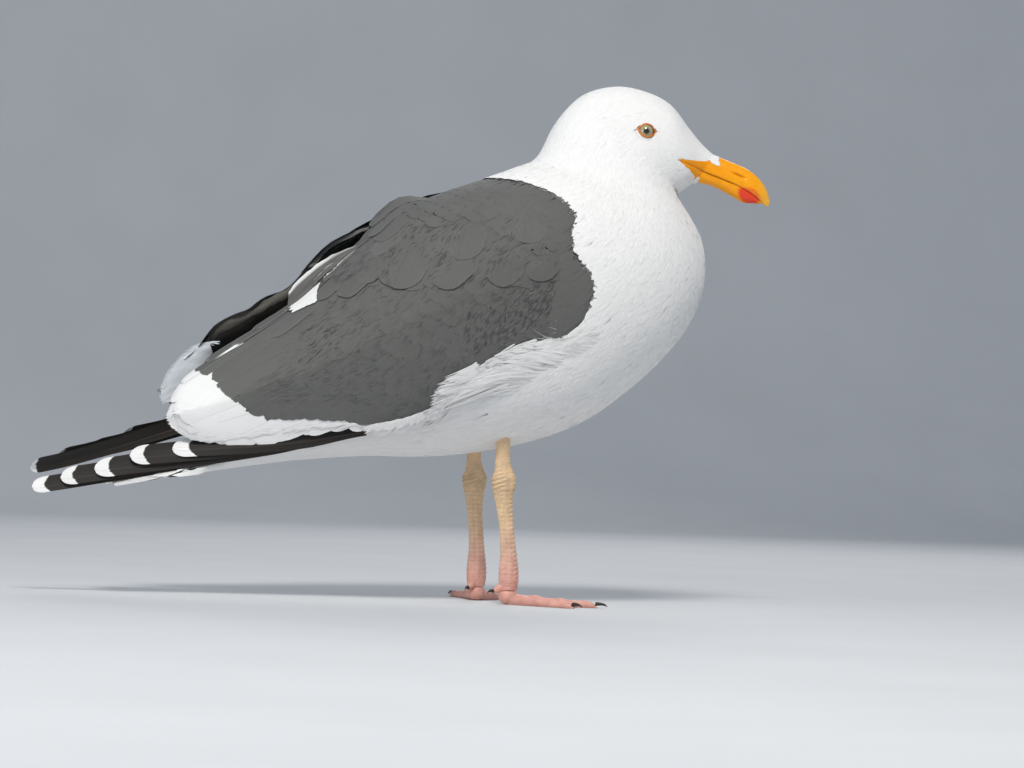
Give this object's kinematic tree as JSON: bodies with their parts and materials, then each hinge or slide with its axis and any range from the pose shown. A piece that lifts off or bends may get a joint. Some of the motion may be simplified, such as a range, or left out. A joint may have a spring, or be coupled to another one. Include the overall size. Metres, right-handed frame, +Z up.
{
  "type": "western gull",
  "caption": "Life-size standing western gull with folded wings, for display: white head and underparts, dark grey back, black and white wing tips, webbed feet on flat soles.",
  "frame": {"origin": "on the floor, at the middle of the whole bird's outline seen from above", "axes": "+X the way the body faces, from tail to breast; +Y to the bird's left; +Z up"},
  "size_m": [0.5084, 0.1702, 0.3652],
  "materials": {
    "white_plumage_front": "clean white contour feathers over muscle and bone, soft and matt",
    "white_plumage_rear": "clean white contour and tail feathers, soft and matt",
    "grey_plumage": "dark slate grey feathers with broad white tips along the rear edge, matt with a slight silk sheen",
    "black_plumage": "brownish black flight feathers with white tips, slight sheen",
    "bill_horn": "smooth orange-yellow horn with a red spot near the tip below, satin",
    "eye": "wet eyeball, pale olive-grey iris, black pupil",
    "leg_skin": "flesh pink scaled skin, yellower on the tarsus, matt",
    "claw_horn": "black horn, satin"
  },
  "bodies": {
    "root": {"head": "white_plumage_front", "neck": "white_plumage_front", "breast": "white_plumage_front", "abdomen": "white_plumage_rear", "tail": "white_plumage_rear", "wing_right": "grey_plumage", "wing_left": "grey_plumage", "primaries_right": "black_plumage", "primaries_left": "black_plumage", "bill_upper": "bill_horn", "bill_lower": "bill_horn", "eye_right": "eye", "eye_left": "eye", "shin_right": "leg_skin", "tarsus_right": "leg_skin", "foot_right": "leg_skin", "claw_right_inner": "claw_horn", "claw_right_middle": "claw_horn", "claw_right_outer": "claw_horn", "claw_right_hallux": "claw_horn", "shin_left": "leg_skin", "tarsus_left": "leg_skin", "foot_left": "leg_skin", "claw_left_inner": "claw_horn", "claw_left_middle": "claw_horn", "claw_left_outer": "claw_horn", "claw_left_hallux": "claw_horn"}
  },
  "joints": []
}
